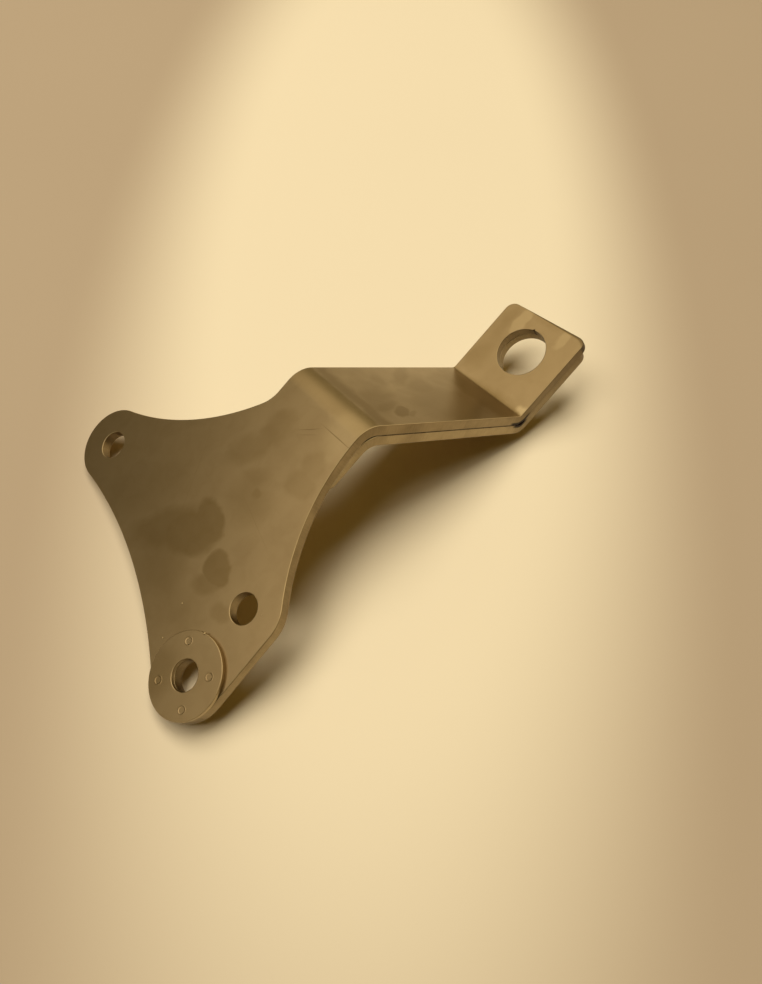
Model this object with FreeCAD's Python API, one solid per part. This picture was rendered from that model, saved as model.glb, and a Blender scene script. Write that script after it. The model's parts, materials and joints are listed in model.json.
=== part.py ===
import FreeCAD, Part
import math
import os

os.makedirs("parts", exist_ok=True)

Vector = FreeCAD.Vector

# Sheet metal, in millimetres
SHEET = 4.0                 # thickness of each of the two sheets
BEND_ANGLE = 59.0           # degrees, the same down and back up
BEND_1_RADIUS = 6.0         # inside radius where the arm leaves the plate
BEND_2_RADIUS = 2.0         # inside radius where the arm turns into the tab

# Mounting plate, seen from above: X runs from the plate to the tab, Y along the bends
HOLE_D = 10.5               # the three mounting holes, the lower one at the origin
INNER_HOLE_X = 27.9
INNER_HOLE_Y = 0.8
UPPER_HOLE_X = 28.9
UPPER_HOLE_Y = 95.8
LOBE_R = 14.4               # round ends about the three holes
WAIST_R = 160.0             # long hollow edge between the lower and upper lobes
SHOULDER_R = 98.0           # hollow edge from the upper lobe to the arm
NECK_R = 12.0               # tight curve where the shoulder meets the arm
NECK_X = 86.0               # where that curve runs out into the arm's side
FLANK_R = 82.0              # hollow edge from the inner lobe to the arm

# Arm and tab
ARM_Y = 10.8                # near side of the arm
ARM_WIDTH = 39.0
BEND_1_X = 96.9             # where the plate's face would meet the arm's face
DROP = 69.5                 # from the plate's face down to the tab's face
TAB_LENGTH = 37.0           # from the inside of the second bend to the free end, at mid width
TAB_END_TURN = 4.0          # degrees that the free end is out of square, longer on the near side
TAB_CORNER_R = 4.0
TAB_HOLE_D = 20.0
TAB_HOLE_BACK = 16.4        # from the tab's free end to the middle of its hole

# Doubler, the second sheet under the arm and the tab
DOUBLER_REACH = 26.2        # how far it runs back under the plate from the first bend
DOUBLER_CORNER_R = 5.0      # its two corners under the plate
DOUBLER_SET_BACK = 1.2      # its free end stops this much short of the tab's

# Weld washer on the lower hole
WASHER_D = 29.0
WASHER_THICK = 1.5
DIMPLES = 4
DIMPLE_D = 2.7              # pressed by the welding points
DIMPLE_DEPTH = 0.45
DIMPLE_RING_D = 21.2
DIMPLE_TURN = 45.0          # degrees from the arm's direction

# Sizes that follow from these
LOWER = Vector(0, 0, 0)
INNER = Vector(INNER_HOLE_X, INNER_HOLE_Y, 0)
UPPER = Vector(UPPER_HOLE_X, UPPER_HOLE_Y, 0)
ANGLE = math.radians(BEND_ANGLE)
ARM_FAR_Y = ARM_Y + ARM_WIDTH
BEND_2_X = BEND_1_X + DROP / math.tan(ANGLE)
TAB_END_X = BEND_2_X + TAB_LENGTH
TAB_HOLE = Vector(TAB_END_X - TAB_HOLE_BACK, ARM_Y + ARM_WIDTH / 2, 0)
DOUBLER_START_X = BEND_1_X - DOUBLER_REACH
DOUBLER_END_X = TAB_END_X - DOUBLER_SET_BACK


def line(start, end):
    return Part.LineSegment(start, end).toShape()


def arc(start, end, centre):
    """Arc about centre from start to end, the short way round."""
    radius = (start - centre).Length
    middle = (start - centre) + (end - centre)
    middle.normalize()
    return Part.Arc(start, centre + middle * radius, end).toShape()


def toward(origin, target, distance):
    """Point at this distance from origin on the way to target."""
    step = target - origin
    step.normalize()
    return origin + step * distance


def meeting(centre_a, radius_a, centre_b, radius_b):
    """Point at radius_a from centre_a and radius_b from centre_b, left of the way from a to b."""
    span = (centre_b - centre_a).Length
    along = (span**2 + radius_a**2 - radius_b**2) / (2 * span)
    across = math.sqrt(radius_a**2 - along**2)
    ahead = (centre_b - centre_a) / span
    left = Vector(-ahead.y, ahead.x, 0)
    return centre_a + ahead * along + left * across


def rounded_end(start, corners, radius, end):
    """Straight edges from start through the corners to end, each corner rounded."""
    edges = []
    here = start
    for number, corner in enumerate(corners):
        after = corners[number + 1] if number + 1 < len(corners) else end
        half_angle = (here - corner).getAngle(after - corner) / 2
        setback = radius / math.tan(half_angle)
        entry = toward(corner, here, setback)
        leave = toward(corner, after, setback)
        centre = toward(corner, (entry + leave) / 2, radius / math.sin(half_angle))
        edges.append(line(here, entry))
        edges.append(arc(entry, leave, centre))
        here = leave
    edges.append(line(here, end))
    return edges


def plate_outline():
    """Edge of the main sheet seen from above, from the lower lobe round to the waist."""
    # Hollow arcs that run smoothly into the lobes they join
    waist = meeting(LOWER, WAIST_R + LOBE_R, UPPER, WAIST_R + LOBE_R)
    neck = Vector(NECK_X, ARM_FAR_Y + NECK_R, 0)
    shoulder = meeting(UPPER, SHOULDER_R + LOBE_R, neck, SHOULDER_R - NECK_R)
    flank_y = ARM_Y - FLANK_R
    flank_dx = math.sqrt((FLANK_R + LOBE_R)**2 - (INNER.y - flank_y)**2)
    flank = Vector(INNER.x + flank_dx, flank_y, 0)

    # Straight side along the lower and inner lobes
    side = INNER - LOWER
    side.normalize()
    outward = Vector(side.y, -side.x, 0) * LOBE_R

    low_waist = toward(LOWER, waist, LOBE_R)
    low_side = LOWER + outward
    inner_side = INNER + outward
    inner_flank = toward(INNER, flank, LOBE_R)
    arm_near = Vector(flank.x, ARM_Y, 0)
    arm_far = Vector(NECK_X, ARM_FAR_Y, 0)
    neck_top = toward(shoulder, neck, SHOULDER_R)
    high_shoulder = toward(UPPER, shoulder, LOBE_R)
    high_waist = toward(UPPER, waist, LOBE_R)

    tab_skew = ARM_WIDTH / 2 * math.tan(math.radians(TAB_END_TURN))
    tab_near = Vector(TAB_END_X + tab_skew, ARM_Y, 0)
    tab_far = Vector(TAB_END_X - tab_skew, ARM_FAR_Y, 0)
    tab_corners = [tab_near, tab_far]
    edges = [arc(low_waist, low_side, LOWER), line(low_side, inner_side)]
    edges += [arc(inner_side, inner_flank, INNER), arc(inner_flank, arm_near, flank)]
    edges += rounded_end(arm_near, tab_corners, TAB_CORNER_R, arm_far)
    edges += [arc(arm_far, neck_top, neck), arc(neck_top, high_shoulder, shoulder)]
    edges += [arc(high_shoulder, high_waist, UPPER), arc(high_waist, low_waist, waist)]
    return edges


def doubler_outline():
    """Edge of the second sheet seen from above: a strip as wide as the arm."""
    middle_x = (DOUBLER_START_X + DOUBLER_END_X) / 2
    near = Vector(middle_x, ARM_Y, 0)
    far = Vector(middle_x, ARM_FAR_Y, 0)
    tab_corners = [Vector(DOUBLER_END_X, ARM_Y, 0), Vector(DOUBLER_END_X, ARM_FAR_Y, 0)]
    plate_corners = [Vector(DOUBLER_START_X, ARM_FAR_Y, 0), Vector(DOUBLER_START_X, ARM_Y, 0)]
    edges = rounded_end(near, tab_corners, TAB_CORNER_R, far)
    return edges + rounded_end(far, plate_corners, DOUBLER_CORNER_R, near)


def folded_path(depth, radius_1, radius_2, start_x, end_x):
    """Side view of one face of a folded sheet, this far below the plate's face."""
    shift = depth * math.tan(ANGLE / 2)
    start = Vector(start_x, 0, -depth)
    fold_1 = Vector(BEND_1_X - shift, 0, -depth)
    fold_2 = Vector(BEND_2_X - shift, 0, -DROP - depth)
    end = Vector(end_x, 0, -DROP - depth)
    setback_1 = radius_1 * math.tan(ANGLE / 2)
    setback_2 = radius_2 * math.tan(ANGLE / 2)
    into_1 = toward(fold_1, start, setback_1)
    out_1 = toward(fold_1, fold_2, setback_1)
    into_2 = toward(fold_2, fold_1, setback_2)
    out_2 = toward(fold_2, end, setback_2)
    centre_1 = into_1 - Vector(0, 0, radius_1)
    centre_2 = out_2 + Vector(0, 0, radius_2)
    return [
        line(start, into_1),
        arc(into_1, out_1, centre_1),
        line(out_1, into_2),
        arc(into_2, out_2, centre_2),
        line(out_2, end),
    ]


def folded_sheet(depth, outline):
    """Sheet whose upper face lies this far below the plate's face, cut to the outline."""
    blank = Part.Face(Part.Wire(outline))
    box = blank.BoundBox
    start_x = box.XMin - SHEET
    end_x = box.XMax + SHEET
    upper = folded_path(depth, BEND_1_RADIUS + SHEET, BEND_2_RADIUS, start_x, end_x)
    lower = folded_path(depth + SHEET, BEND_1_RADIUS, BEND_2_RADIUS + SHEET, start_x, end_x)
    free_end = line(Vector(end_x, 0, -DROP - depth), Vector(end_x, 0, -DROP - depth - SHEET))
    plate_end = line(Vector(start_x, 0, -depth - SHEET), Vector(start_x, 0, -depth))
    section = Part.Face(Part.Wire(upper + [free_end] + lower[::-1] + [plate_end]))
    section.translate(Vector(0, box.YMin - SHEET, 0))
    slab = section.extrude(Vector(0, box.YLength + 2 * SHEET, 0))
    blank.translate(Vector(0, 0, -DROP - depth - 2 * SHEET))
    cutter = blank.extrude(Vector(0, 0, DROP + 4 * SHEET))
    return slab.common(cutter)


def hole(centre, diameter):
    """Straight hole through everything at this place."""
    bottom = Vector(centre.x, centre.y, -DROP - 4 * SHEET)
    return Part.makeCylinder(diameter / 2, DROP + 8 * SHEET, bottom)


def weld_washer():
    """Flat washer with a ring of shallow round dimples in its upper face."""
    washer = Part.makeCylinder(WASHER_D / 2, WASHER_THICK, LOWER)
    washer = washer.cut(hole(LOWER, HOLE_D))
    # Each dimple is the bottom of a ball as wide as the dimple at the face
    ball_r = ((DIMPLE_D / 2)**2 + DIMPLE_DEPTH**2) / (2 * DIMPLE_DEPTH)
    for number in range(DIMPLES):
        turn = math.radians(DIMPLE_TURN + number * 360 / DIMPLES)
        x = DIMPLE_RING_D / 2 * math.cos(turn)
        y = DIMPLE_RING_D / 2 * math.sin(turn)
        centre = LOWER + Vector(x, y, WASHER_THICK + ball_r - DIMPLE_DEPTH)
        washer = washer.cut(Part.makeSphere(ball_r, centre))
    return washer


def resting_tilt(lean_axis):
    """Degrees that the plate leans when two lobes and the far end of the second bend touch down.

    The lobes touch with their lower rims, so the bracket leans about the line through
    their holes. The bend touches with its rounded outside, on the arm's far side.
    """
    downhill = Vector(-lean_axis.y, lean_axis.x, 0)
    outer_r = BEND_2_RADIUS + SHEET
    centre_x = BEND_2_X + (outer_r - 2 * SHEET) * math.tan(ANGLE / 2)
    centre = Vector(centre_x, ARM_FAR_Y, -DROP - 2 * SHEET + outer_r)
    span = LOBE_R - centre.dot(downhill)
    low = 0.0
    high = math.pi / 2
    for _ in range(60):
        tilt = (low + high) / 2
        round_drop = outer_r * math.hypot(math.sin(tilt) * downhill.x, math.cos(tilt))
        height = (centre.z + SHEET) * math.cos(tilt) + span * math.sin(tilt) - round_drop
        if height < 0:
            low = tilt
        else:
            high = tilt
    return math.degrees(tilt)


main_sheet = folded_sheet(0, plate_outline())
doubler = folded_sheet(SHEET, doubler_outline())
for centre in (LOWER, INNER, UPPER):
    main_sheet = main_sheet.cut(hole(centre, HOLE_D))
main_sheet = main_sheet.cut(hole(TAB_HOLE, TAB_HOLE_D))
doubler = doubler.cut(hole(TAB_HOLE, TAB_HOLE_D))
pieces = {"main_plate": main_sheet, "doubler": doubler, "weld_washer": weld_washer()}

# Lay the bracket down as it rests, with the middle of its base at the origin
lean_axis = UPPER - LOWER
lean_axis.normalize()
tilt = resting_tilt(lean_axis)
for shape in pieces.values():
    shape.rotate(LOWER, lean_axis, -tilt)
extent = Part.Compound(list(pieces.values())).optimalBoundingBox()
base = Vector(extent.Center.x, extent.Center.y, extent.ZMin)
for name, shape in pieces.items():
    shape.translate(-base)
    shape.exportStep("parts/" + name + ".step")
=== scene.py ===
import json
import logging
import math
from dataclasses import dataclass, field
from enum import Enum

import bmesh
import bpy
from mathutils import Matrix, Vector


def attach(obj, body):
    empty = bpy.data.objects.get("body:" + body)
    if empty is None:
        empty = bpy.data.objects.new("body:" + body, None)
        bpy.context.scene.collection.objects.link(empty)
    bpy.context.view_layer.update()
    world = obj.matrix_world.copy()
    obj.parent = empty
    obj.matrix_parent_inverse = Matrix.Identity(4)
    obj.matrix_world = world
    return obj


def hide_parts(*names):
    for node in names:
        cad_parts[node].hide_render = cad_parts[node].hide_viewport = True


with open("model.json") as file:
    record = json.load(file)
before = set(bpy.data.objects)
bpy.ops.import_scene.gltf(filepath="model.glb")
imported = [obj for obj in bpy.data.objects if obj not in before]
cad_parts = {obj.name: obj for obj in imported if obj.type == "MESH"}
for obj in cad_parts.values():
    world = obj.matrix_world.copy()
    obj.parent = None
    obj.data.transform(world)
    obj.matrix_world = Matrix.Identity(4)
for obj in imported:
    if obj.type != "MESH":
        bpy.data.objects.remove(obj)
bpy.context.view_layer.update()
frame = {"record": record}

BODY = "root"
MM = 0.001
LOG = logging.getLogger("footrest_hanger")

# Spacing of the points on a cut edge, and the distance under which two are one, in millimetres
STRAIGHT_SPACING = 3.0
ARC_SPACING = 2.0
ARC_TURN = math.radians(4)
SAME_PLACE = 1e-4


class Slot(Enum):
    """The record's material slots."""

    MAIN_PLATE = "main_plate"
    DOUBLER = "doubler"
    WELD_WASHER = "weld_washer"


class WeldPlace(Enum):
    """The stretches of the seam that have a ground weld."""

    FLANK = "hollow flank before the first bend"
    TAB = "near side of the tab"


class Signal:
    """A node socket whose number takes part in Python arithmetic."""

    def __init__(self, graph: "Graph", socket: "bpy.types.NodeSocket | None") -> None:
        """Hold one output socket of a graph, or none for a node that ends it."""
        self.graph = graph
        self.socket = socket

    def maths(self, operation: str, *values: "Signal | float") -> "Signal":
        """Add a Math node over these values."""
        return self.graph.node("ShaderNodeMath", {"operation": operation}, list(values))

    def __add__(self, other: "Signal | float") -> "Signal":
        """Sum."""
        return self.maths("ADD", self, other)

    __radd__ = __add__

    def __sub__(self, other: "Signal | float") -> "Signal":
        """Difference."""
        return self.maths("SUBTRACT", self, other)

    def __rsub__(self, other: float) -> "Signal":
        """Difference from a number."""
        return self.maths("SUBTRACT", other, self)

    def __mul__(self, other: "Signal | float") -> "Signal":
        """Product."""
        return self.maths("MULTIPLY", self, other)

    __rmul__ = __mul__

    def __truediv__(self, other: "Signal | float") -> "Signal":
        """Quotient."""
        return self.maths("DIVIDE", self, other)

    def __neg__(self) -> "Signal":
        """The value with its sign turned."""
        return self.maths("MULTIPLY", self, -1.0)

    def least(self, other: "Signal | float") -> "Signal":
        """The smaller of two values."""
        return self.maths("MINIMUM", self, other)

    def most(self, other: "Signal | float") -> "Signal":
        """The larger of two values."""
        return self.maths("MAXIMUM", self, other)

    def sine(self) -> "Signal":
        """Sine of an angle in radians."""
        return self.maths("SINE", self)

    def cosine(self) -> "Signal":
        """Cosine of an angle in radians."""
        return self.maths("COSINE", self)

    def step(self, low: float, high: float) -> "Signal":
        """Turn the value into a smooth step.

        Args:
            low: Value at which the step is 0, which may be the larger of the two.
            high: Value at which it is 1.

        Returns:
            The step.
        """
        settings = {"interpolation_type": "SMOOTHSTEP"}
        values = {"Value": self, "From Min": low, "From Max": high}
        return self.graph.node("ShaderNodeMapRange", settings, values)


def weighted(parts: tuple, *signals: "Signal | float", start: float = 0.0) -> "Signal | float":
    """Add signals up, each times its part.

    Args:
        parts: The parts, in the order of the signals.
        signals: The signals, or plain numbers.
        start: What the sum starts from.

    Returns:
        The sum.
    """
    total = start
    for part, signal in zip(parts, signals):
        total = total + signal * part
    return total


class Graph:
    """A node tree with one way to add any node, and short ways to the ones used most."""

    def __init__(self, tree: bpy.types.NodeTree) -> None:
        """Take a tree and empty it."""
        self.tree = tree
        self.tree.nodes.clear()

    def node(
        self, kind: str, settings: dict, values: "dict | list", output: "int | str" = 0
    ) -> Signal:
        """Add a node.

        Args:
            kind: The node's type.
            settings: Its own settings, set first.
            values: Numbers, colours or signals for its inputs, by name, by number or in order.
            output: Which of its outputs is wanted.

        Returns:
            That output.
        """
        made = self.tree.nodes.new(kind)
        for key, value in settings.items():
            setattr(made, key, value)
        pairs = values.items() if isinstance(values, dict) else enumerate(values)
        for key, value in pairs:
            if isinstance(value, Signal):
                self.tree.links.new(value.socket, made.inputs[key])
            else:
                made.inputs[key].default_value = value
        return Signal(self, made.outputs[output] if len(made.outputs) else None)

    def vector(
        self, operation: str, *values: "Signal | tuple", output: str = "Vector"
    ) -> Signal:
        """Add a Vector Math node over these values."""
        return self.node("ShaderNodeVectorMath", {"operation": operation}, list(values), output)

    def length(self, vector: Signal) -> Signal:
        """Length of a vector."""
        return self.vector("LENGTH", vector, output="Value")

    def axis(self, vector: Signal, name: str) -> Signal:
        """One of a vector's three numbers: X, Y or Z."""
        return self.node("ShaderNodeSeparateXYZ", {}, [vector], name)

    def combined(self, *numbers: "Signal | float") -> Signal:
        """A vector made of three numbers."""
        return self.node("ShaderNodeCombineXYZ", {}, list(numbers))

    def oval(self, offset: Signal, turn: float, length: float, width: float) -> Signal:
        """Measure how far out in an oval a place is.

        Args:
            offset: The place, from the oval's middle.
            turn: The oval's turn in radians.
            length: Half its length.
            width: Half its width.

        Returns:
            0 in its middle and 1 on its rim.
        """
        settings = {"rotation_type": "Z_AXIS"}
        values = {"Vector": offset, "Angle": -turn}
        turned = self.node("ShaderNodeVectorRotate", settings, values)
        return self.length(self.vector("MULTIPLY", turned, (1 / length, 1 / width, 0)))

    def noise(
        self, where: Signal, scale: float, detail: float = 2.0, warp: float = 0.0,
        output: str = "Fac",
    ) -> Signal:
        """Soft noise from 0 to 1, as a number or as a colour."""
        values = {"Vector": where, "Scale": scale, "Detail": detail, "Distortion": warp}
        return self.node("ShaderNodeTexNoise", {}, values, output)

    def blend(
        self, amount: "Signal | float", low: "Signal | tuple", high: "Signal | tuple"
    ) -> Signal:
        """Go from one colour to another.

        Args:
            amount: How far to go, from 0 to 1.
            low: The colour at 0.
            high: The colour at 1.

        Returns:
            The colour between them.
        """
        # A Mix node has sockets for every kind of data, and these are the ones for colours
        factor, first, second, result = 0, 6, 7, 2
        values = {factor: amount, first: low, second: high}
        return self.node("ShaderNodeMix", {"data_type": "RGBA"}, values, result)

    def ray(self, kind: str) -> Signal:
        """1 for a ray of this kind, 0 for any other."""
        return self.node("ShaderNodeLightPath", {}, {}, kind)


class FormGraph(Graph):
    """A Geometry Nodes tree with named sizes, which shapes one piece."""

    def __init__(self, name: str) -> None:
        """Start the tree with a geometry input and output.

        Args:
            name: The tree's name.
        """
        super().__init__(bpy.data.node_groups.new(name, "GeometryNodeTree"))
        self.sizes = {}
        self._socket("Geometry", "INPUT", "NodeSocketGeometry")
        self._socket("Geometry", "OUTPUT", "NodeSocketGeometry")
        self.entry = self.tree.nodes.new("NodeGroupInput")

    def _socket(self, name: str, side: str, kind: str) -> str:
        """Add a socket to the tree's interface and return its identifier."""
        return self.tree.interface.new_socket(name, in_out=side, socket_type=kind).identifier

    def start(self) -> Signal:
        """The geometry that comes in."""
        return Signal(self, self.entry.outputs["Geometry"])

    def size(self, name: str, value: float) -> Signal:
        """Add a named size and return it."""
        self.sizes[self._socket(name, "INPUT", "NodeSocketFloat")] = value
        return Signal(self, self.entry.outputs[name])

    def place(self) -> Signal:
        """Where each point is."""
        return self.node("GeometryNodeInputPosition", {}, {})

    def carried(self, name: str) -> Signal:
        """A number that each point carries."""
        settings = {"data_type": "FLOAT"}
        return self.node("GeometryNodeInputNamedAttribute", settings, {"Name": name}, "Attribute")

    def store(self, geometry: Signal, name: str, value: "Signal | float", kind: str) -> Signal:
        """Let each point of a geometry carry a value.

        Args:
            geometry: The geometry.
            name: Name that the value gets.
            value: The value.
            kind: Its data type.

        Returns:
            The geometry, with the value on it.
        """
        settings = {"data_type": kind, "domain": "POINT"}
        values = {"Geometry": geometry, "Name": name, "Value": value}
        return self.node("GeometryNodeStoreNamedAttribute", settings, values)

    def real(self, geometry: Signal) -> Signal:
        """A geometry with its instances made real."""
        return self.node("GeometryNodeRealizeInstances", {}, {"Geometry": geometry})

    def stand(self, points: Signal, form: Signal, scale: "Signal | tuple" = (1, 1, 1)) -> Signal:
        """Copies of a small form on these points, made real."""
        values = {"Points": points, "Instance": form, "Scale": scale}
        return self.real(self.node("GeometryNodeInstanceOnPoints", {}, values))

    def by_seed(self, kind: str) -> Signal:
        """The loose points that mark a place, kept alone or left out by this type of node."""
        chosen = {"Geometry": self.start(), "Selection": self.carried("seed")}
        return self.node(kind, {"domain": "POINT"}, chosen)

    def join(self, *parts: Signal) -> Signal:
        """Make several geometries one.

        Args:
            parts: The geometries.

        Returns:
            All of them together.
        """
        made = self.tree.nodes.new("GeometryNodeJoinGeometry")
        for part in parts:
            self.tree.links.new(part.socket, made.inputs[0])
        return Signal(self, made.outputs[0])

    def dress(self, geometry: Signal, edge: float = 0.0) -> Signal:
        """Shade a form smoothly and store what the finishes read.

        Args:
            geometry: The form.
            edge: How far over a rim all of it counts as being, or 0 where it carries that.

        Returns:
            The form, which now carries its place on the blank.
        """
        smooth = self.node("GeometryNodeSetShadeSmooth", {}, {"Geometry": geometry})
        stored = self.store(smooth, "blank", self.place(), "FLOAT_VECTOR")
        return self.store(stored, "edge", edge, "FLOAT") if edge else stored

    def close(self, geometry: Signal, material: bpy.types.Material) -> None:
        """End the tree: instances made real, material set.

        Args:
            geometry: What the tree has made.
            material: Its finish.
        """
        values = {"Geometry": self.real(geometry), "Material": material}
        painted = self.node("GeometryNodeSetMaterial", {}, values)
        self.node("NodeGroupOutput", {}, {"Geometry": painted})

    def shape(self, piece: bpy.types.Object) -> None:
        """Run the tree on a piece and keep the result, faces outwards, as its plain mesh.

        Args:
            piece: The object that the tree works on.
        """
        modifier = piece.modifiers.new(self.tree.name, "NODES")
        modifier.node_group = self.tree
        for identifier, value in self.sizes.items():
            modifier[identifier] = value
        graph = bpy.context.evaluated_depsgraph_get()
        shaped = bpy.data.meshes.new_from_object(
            piece.evaluated_get(graph), preserve_all_data_layers=True, depsgraph=graph)
        piece.modifiers.clear()
        mesh_form = bmesh.new()
        mesh_form.from_mesh(shaped)
        bmesh.ops.recalc_face_normals(mesh_form, faces=mesh_form.faces)
        mesh_form.to_mesh(shaped)
        mesh_form.free()
        piece.data = shaped


@dataclass(frozen=True)
class Spot:
    """An oval mark on a sheet's blank, in millimetres, with its turn in degrees."""

    along: float
    across: float
    length: float
    width: float
    turn: float = 0.0
    softness: float = 0.3
    depth: float = 1.0

    @classmethod
    def line(cls, start: tuple, end: tuple, width: float, depth: float) -> "Spot":
        """Make a soft scratch.

        Args:
            start: One end, as (along, across) on the blank.
            end: The other end.
            width: Half its width.
            depth: How strong it is.

        Returns:
            The scratch, as a long thin spot.
        """
        run = Vector(end) - Vector(start)
        middle = (Vector(start) + Vector(end)) / 2
        turn = math.degrees(math.atan2(run.y, run.x))
        return cls(
            middle.x, middle.y, run.length / 2, width, turn, softness=0.6, depth=depth)


@dataclass(frozen=True)
class Texture:
    """Soft noise on the blank, with so many features a millimetre along, across and through."""

    scale: tuple
    detail: float = 2.0
    warp: float = 0.0


class FinishGraph(Graph):
    """A material's node tree, with the helpers that the finishes share."""

    def __init__(self, name: str) -> None:
        """Start a material.

        Args:
            name: The material's name.
        """
        self.material = bpy.data.materials.new(name)
        self.material.use_nodes = True
        super().__init__(self.material.node_tree)

    def attribute(self, name: str, output: str = "Fac") -> Signal:
        """A number or vector that the mesh carries."""
        return self.node("ShaderNodeAttribute", {"attribute_name": name}, {}, output)

    def texture(self, blank: Signal, texture: Texture) -> Signal:
        """This texture at each place on the blank, from 0 to 1."""
        where = self.vector("MULTIPLY", blank, texture.scale)
        return self.noise(where, 1.0, texture.detail, texture.warp)

    def wandering(self, where: Signal, scale: float, reach: float) -> Signal:
        """Move a place about by soft noise, so that a mark there gets an uneven rim.

        Args:
            where: The place.
            scale: How fine the noise is.
            reach: How far apart the noise's ends are.

        Returns:
            The moved place.
        """
        drift = self.noise(where, scale, detail=3.0, output="Color")
        moved = self.vector("MULTIPLY_ADD", drift, (reach, reach, 0), where)
        return self.vector("SUBTRACT", moved, (reach / 2, reach / 2, 0))

    def strongest(self, where: Signal, spots: tuple) -> "Signal | float":
        """Find the strongest spot at each place.

        Args:
            where: The place on the blank.
            spots: The spots to choose from.

        Returns:
            Its strength, or 0 without any spots.
        """
        found = 0.0
        for spot in spots:
            offset = self.vector("SUBTRACT", where, (spot.along, spot.across, 0))
            reach = self.oval(offset, math.radians(spot.turn), spot.length, spot.width)
            here = reach.step(1 + spot.softness, 1 - spot.softness) * spot.depth
            found = here.most(found)
        return found

    def surface(self, values: dict) -> bpy.types.Material:
        """Join a Principled surface to the output.

        Args:
            values: Its inputs, by name.

        Returns:
            The material.
        """
        shader = self.node("ShaderNodeBsdfPrincipled", {}, values, "BSDF")
        self.node("ShaderNodeOutputMaterial", {}, {"Surface": shader})
        return self.material


THUMB_STAINS = (
    Spot(37.8, 35.2, 8.6, 6.2, -108, 0.14),
    Spot(30.5, 38.2, 12.0, 8.2, 123, 0.22),
    Spot(25.5, 48.0, 15.5, 7.0, 138, 0.45, 0.85),
    Spot(29.2, 18.7, 7.0, 5.3, -106, 0.16),
    Spot(24.1, 17.8, 7.1, 3.4, 134, 0.4, 0.75),
)
PLATE_SMUDGES = (
    Spot(76.0, 39.1, 8.5, 5.9, 161, 0.35, 0.5),
    Spot(64.6, 42.6, 8.4, 5.5, 144, 0.4, 0.5),
    Spot(76.0, 17.0, 5.4, 4.8, -115, 0.3, 0.34),
    Spot(68.3, 15.9, 5.5, 5.0, 128, 0.3, 0.4),
    Spot(56.2, 27.6, 1.6, 1.3, 0, 0.4, 0.5),
    Spot(60.5, 31.0, 6.0, 2.6, 120, 0.5, 0.3),
    Spot(20.8, 6.7, 4.0, 3.1, 113, 0.4, 0.5),
    Spot(10.0, 22.0, 11.0, 7.0, 100, 0.6, 0.3),
    Spot(28.2, 67.1, 18.0, 9.7, 137, 0.5, 0.3),
)
ARM_SMUDGES = (
    Spot(118.4, 18.7, 4.0, 2.6, 27, 0.25, 1.4),
    Spot(122.4, 16.9, 2.6, 1.0, 20, 0.4, 0.8),
    Spot(114.3, 22.2, 7.3, 1.6, 17, 0.5, 0.8),
    Spot(114.2, 34.4, 11.0, 6.2, 0, 0.4, 0.35),
    Spot(139.1, 42.4, 9.6, 3.1, 44, 0.4, 0.6),
    Spot(140.4, 27.7, 11.5, 4.9, 22, 0.45, 0.5),
    Spot(159.4, 40.5, 7.8, 4.9, 37, 0.45, 0.6),
    Spot(126.0, 41.0, 5.0, 3.0, 60, 0.5, 0.4),
)
TAB_SMUDGES = (
    Spot(186.4, 44.9, 6.4, 4.8, 167, 0.5, 0.55),
    Spot(204.0, 45.0, 9.0, 2.2, 0, 0.5, 0.4),
    Spot(213.5, 31.0, 2.4, 8.0, 0, 0.5, 0.35),
)
# Darker patches: painted shade across the end of the first bend and down the arm to the second
# bend, and darker tone at random on the plate and the tab.
DARK_TONE_AND_SHADE_PATCHES = (
    Spot(104.5, 30.0, 3.0, 60.0, 0, 0.7, 0.9),
    Spot(113.0, 25.5, 12.0, 6.0, 33, 0.5, 0.6),
    Spot(151.0, 20.0, 26.0, 15.0, 8, 0.5, 0.72),
    Spot(170.0, 24.0, 9.0, 22.0, 0, 0.5, 1.0),
    Spot(200.0, 30.0, 24.0, 30.0, 0, 0.2, 0.24),
    Spot(143.0, 35.0, 9.0, 8.0, 30, 0.6, 0.6),
    Spot(15.0, 39.0, 8.5, 10.0, 0, 0.6, 0.45),
    Spot(52.0, 28.0, 7.0, 8.0, 0, 0.7, 0.38),
)
# Painted highlights: lighter bands and glints on the tab and the arm, and by both bends.
PAINTED_HIGHLIGHTS = (
    Spot(207.5, 39.5, 7.5, 2.4, 0, 0.25, 1.0),
    Spot(211.0, 19.6, 5.0, 2.0, 0, 0.3, 0.9),
    Spot(178.6, 12.4, 2.6, 1.8, 70, 0.5, 2.2),
    Spot(132.0, 36.0, 14.0, 2.2, 20, 0.5, 0.5),
    Spot(111.5, 40.0, 3.0, 6.0, 0, 0.6, 0.4),
    Spot(90.5, 15.5, 8.0, 6.5, 0, 0.7, 0.95),
)
SCRATCHES = (
    Spot.line((81.1, 31.5), (85.8, 25.4), 0.16, 0.8),
    Spot.line((79.9, 30.1), (83.8, 24.5), 0.14, 0.5),
    Spot.line((87.6, 23.6), (87.7, 10.6), 0.15, 1.0),
    Spot.line((46.0, 9.0), (52.0, 30.0), 0.10, 0.3),
    Spot.line((18.0, 40.0), (60.0, 62.0), 0.10, 0.25),
    Spot.line((111.0, 27.0), (117.0, 24.2), 0.16, 0.6),
    Spot.line((126.0, 15.2), (133.0, 16.4), 0.14, 0.5),
)
# Painted shade on the cut walls: black at the tab's near corner, where the rounded corner turns
# away, and darker along the tab's near side.
TAB_CORNER_SHADE = Spot(215.4, 11.6, 4.4, 3.6, 0, 0.25)
TAB_SIDE_SHADE = Spot(196.5, 10.8, 19.0, 3.0, 0, 0.2, 0.24)
TAB_HOLE_NICK = Spot(207.1, 32.2, 0.65, 0.5, 0, 0.3, 0.9)
TAB_END_ROLL = Spot(214.5, 26.0, 4.0, 18.0, 0, 0.3, 0.75)
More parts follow.
